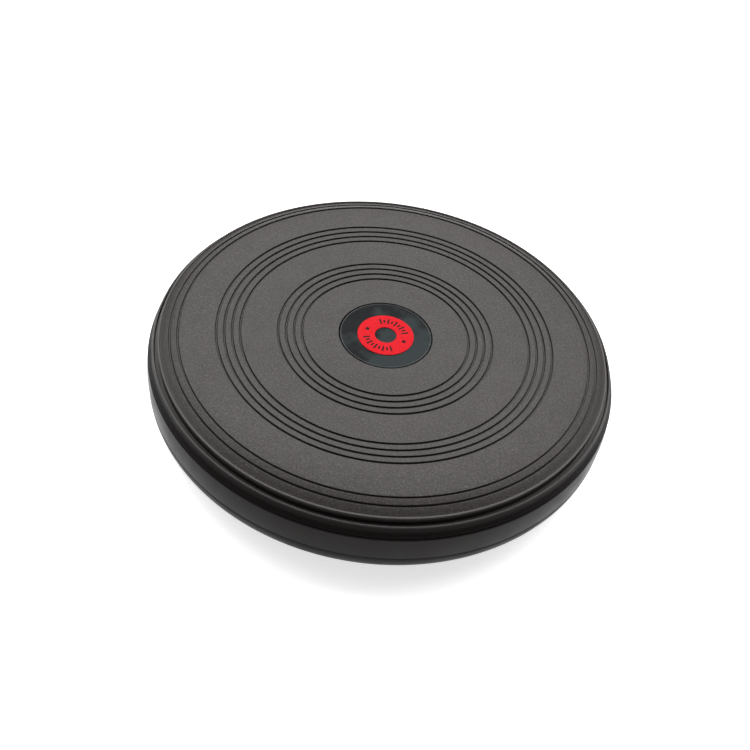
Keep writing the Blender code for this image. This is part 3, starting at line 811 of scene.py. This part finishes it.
def cylinder_mesh(name, radius, low, high):
    """An upright cylinder between two heights."""
    mesh = bpy.data.meshes.new(name)
    shape = bmesh.new()
    bmesh.ops.create_cone(
        shape, cap_ends=True, segments=CYLINDER_STEPS, radius1=radius, radius2=radius, depth=high - low
    )
    bmesh.ops.translate(shape, verts=shape.verts, vec=(0, 0, (low + high) / 2))
    shape.to_mesh(mesh)
    shape.free()
    return mesh


def screw_places():
    turns = [2 * math.pi * i / SCREW_COUNT for i in range(SCREW_COUNT)]
    return [Vector((SCREW_CIRCLE * math.cos(t), SCREW_CIRCLE * math.sin(t), 0.0)) for t in turns]


def boolean(piece, tool, operation):
    cut = piece.modifiers.new(tool.name, "BOOLEAN")
    cut.operation = operation
    cut.object = tool
    return cut


def cut_screw_holes(base):
    """Adds the screw bosses inside the dome and opens their counterbores underneath."""
    tools = []
    boss_foot = dome_z(SCREW_CIRCLE) + BASE_WALL / 2
    steps = (
        ("UNION", BOSS_RADIUS, boss_foot, BASE_INSIDE_TOP),
        ("DIFFERENCE", SEAT_RADIUS, -MM, SCREW_SEAT),
    )
    for operation, radius, low, high in steps:
        for place in screw_places():
            tool = bpy.data.objects.new("tool", cylinder_mesh("tool", radius, low, high))
            tool.location = place
            bpy.context.scene.collection.objects.link(tool)
            boolean(base, tool, operation)
            tools.append(tool)
    bpy.context.view_layer.update()
    graph = bpy.context.evaluated_depsgraph_get()
    mesh = bpy.data.meshes.new_from_object(base.evaluated_get(graph))
    base.modifiers.clear()
    base.data = mesh
    mesh.set_sharp_from_angle(angle=SMOOTH_ANGLE)
    for tool in tools:
        bpy.data.objects.remove(tool)


def flat_groove(radius, rim, depth):
    """A tread groove in an underside, from its outer lip to its inner lip."""
    return groove_outline(radius, rim, rim, rim + depth)[::-1]


def make_rubber():
    """The floor pad and the grip ring under the base."""
    rubber = rubber_material()
    proud = -RUBBER_PROUD
    top = PAD_THICKNESS - RUBBER_PROUD - GAP
    points = [(r, dome_z(r, top), 0.0) for r in (0.0, 20 * MM, 40 * MM)]
    points.append((PAD_RADIUS, dome_z(PAD_RADIUS, top), 0.2 * MM))
    points.append((PAD_RADIUS, dome_z(PAD_RADIUS, proud), 0.8 * MM))
    for radius in PAD_GROOVES:
        points += flat_groove(radius, dome_z(radius, proud), PAD_GROOVE_DEPTH)
    points += [(PAD_LANDING, 0.0, 2 * MM), (0.0, 0.0, 0.0)]
    install(turned("pad_sole", rounded(points), SMALL_STEPS), rubber, "floor_rubber", "floor_pad")
    inner, outer, thickness = GRIP_RING
    top = thickness - RUBBER_PROUD - GAP
    middle = (inner + outer) / 2
    points = [
        (inner, dome_z(inner, top), 0.2 * MM),
        (outer, dome_z(outer, top), 0.2 * MM),
        (outer, dome_z(outer, proud), 0.8 * MM),
        *flat_groove(middle, dome_z(middle, proud), GRIP_GROOVE_DEPTH),
        (inner, dome_z(inner, proud), 0.8 * MM),
        (inner, dome_z(inner, 0.5 * MM), 0.0),
    ]
    install(turned("grip_ring_sole", rounded(points), closed=True), rubber, "floor_rubber", "grip_ring")


def repaint(prefix, material):
    """Gives the CAD nodes whose names start this way a material and smooth shading."""
    for name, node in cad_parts.items():
        if name.startswith(prefix):
            node.data.materials.clear()
            node.data.materials.append(material)
            node.data.shade_smooth()
            node.data.set_sharp_from_angle(angle=SMOOTH_ANGLE)


make_camera()
make_floor()
make_world()
make_cushion()
make_gel()
make_badge()
shell_plastic = make_shell()
base_dome = make_base(shell_plastic)
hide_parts("rocker_base")
make_rubber()
steel = metal_material("zinc_steel", (0.62, 0.62, 0.60), (0.45, 0.45, 0.44), 900.0)
repaint("base_screw", steel)
repaint("shell_screw", steel)
brass = metal_material("turned_brass", (0.74, 0.55, 0.26), (0.60, 0.43, 0.19), 900.0)
repaint("insert", brass)
repaint("deck_plate", plywood_material())
